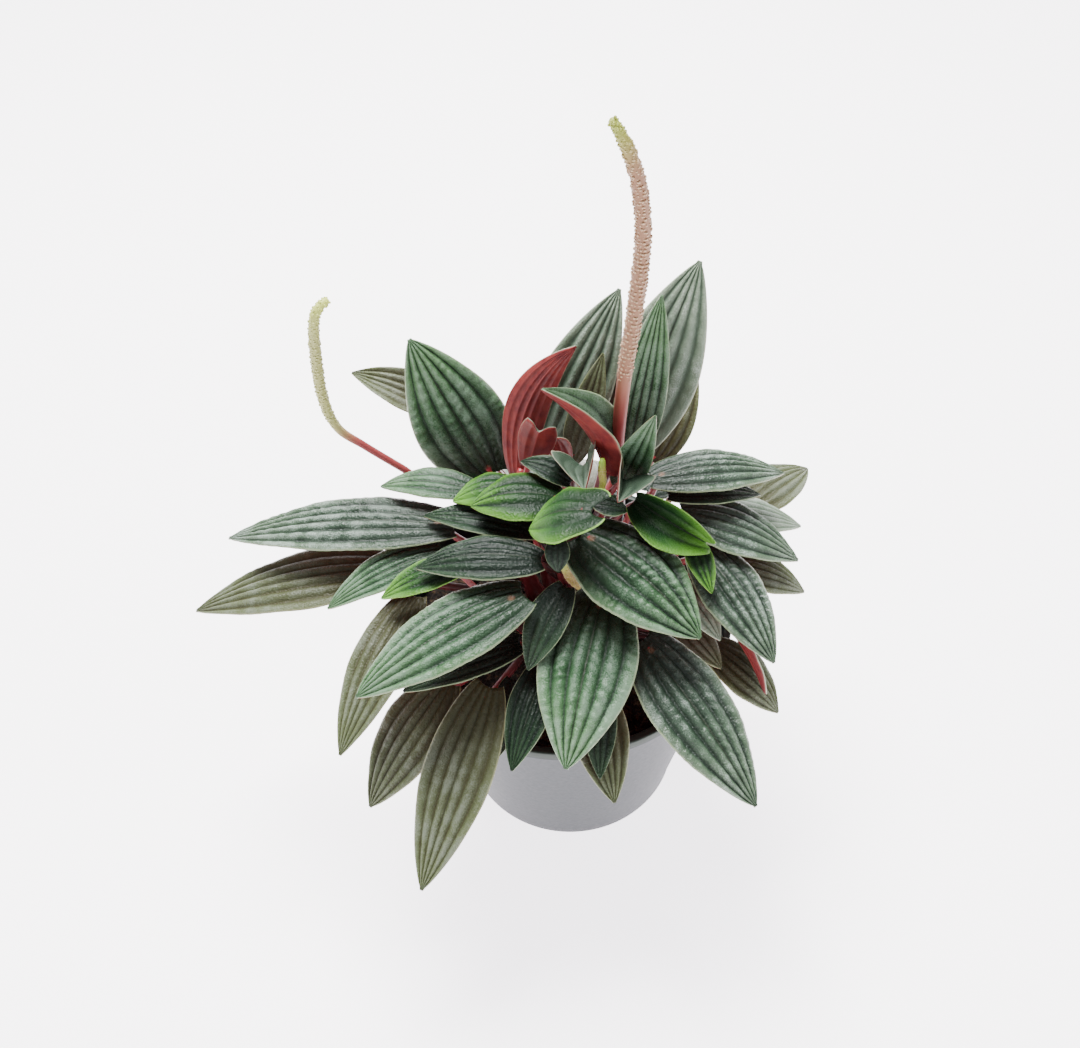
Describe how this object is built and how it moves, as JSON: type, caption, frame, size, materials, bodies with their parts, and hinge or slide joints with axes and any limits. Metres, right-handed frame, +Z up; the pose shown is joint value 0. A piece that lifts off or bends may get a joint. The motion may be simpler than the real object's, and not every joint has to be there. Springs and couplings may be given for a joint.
{
  "type": "potted ripple peperomia",
  "caption": "Ripple peperomia with deeply furrowed dark green leaves on red stalks and slender flower spikes, in a plain tapered round nursery pot.",
  "frame": {"origin": "middle of the pot's flat foot, on the surface that the pot stands on", "axes": "+Z up along the pot's axis, -Y towards the viewer of the picture, +X to the viewer's right"},
  "size_m": [0.226, 0.1789, 0.2777],
  "materials": {
    "pot": "satin",
    "blade": "waxy, deeply rippled",
    "stalk": "smooth",
    "spike": "fine knobs",
    "soil": "crumbly"
  },
  "bodies": {
    "root": {"pot": "pot", "soil": "soil", "stems_and_petioles": "stalk", "spike_tall": "spike", "spike_left": "spike", "spike_bud": "spike", "spike_curled": "spike", "leaf_top_1": "blade", "leaf_top_2": "blade", "leaf_top_3": "blade", "leaf_top_4": "blade", "leaf_top_5": "blade", "leaf_top_6": "blade", "leaf_top_7": "blade", "leaf_front_1": "blade", "leaf_front_2": "blade", "leaf_front_3": "blade", "leaf_front_4": "blade", "leaf_front_5": "blade", "leaf_front_6": "blade", "leaf_front_7": "blade", "leaf_front_8": "blade", "leaf_front_9": "blade", "leaf_front_10": "blade", "leaf_front_11": "blade", "leaf_low_1": "blade", "leaf_low_2": "blade", "leaf_low_3": "blade", "leaf_low_4": "blade", "leaf_low_5": "blade", "leaf_low_6": "blade", "leaf_low_7": "blade", "leaf_left_1": "blade", "leaf_left_2": "blade", "leaf_left_3": "blade", "leaf_left_4": "blade", "leaf_left_5": "blade", "leaf_left_6": "blade", "leaf_left_7": "blade", "leaf_right_1": "blade", "leaf_right_2": "blade", "leaf_right_3": "blade", "leaf_right_4": "blade", "leaf_right_5": "blade", "leaf_right_6": "blade", "leaf_right_7": "blade", "leaf_right_8": "blade", "leaf_right_9": "blade", "leaf_back_1": "blade", "leaf_back_2": "blade", "leaf_back_3": "blade", "leaf_back_4": "blade", "leaf_back_5": "blade", "leaf_back_6": "blade", "leaf_back_7": "blade", "leaf_back_8": "blade", "leaf_back_9": "blade", "leaf_rear_1": "blade", "leaf_rear_2": "blade", "leaf_rear_3": "blade"}
  },
  "joints": []
}
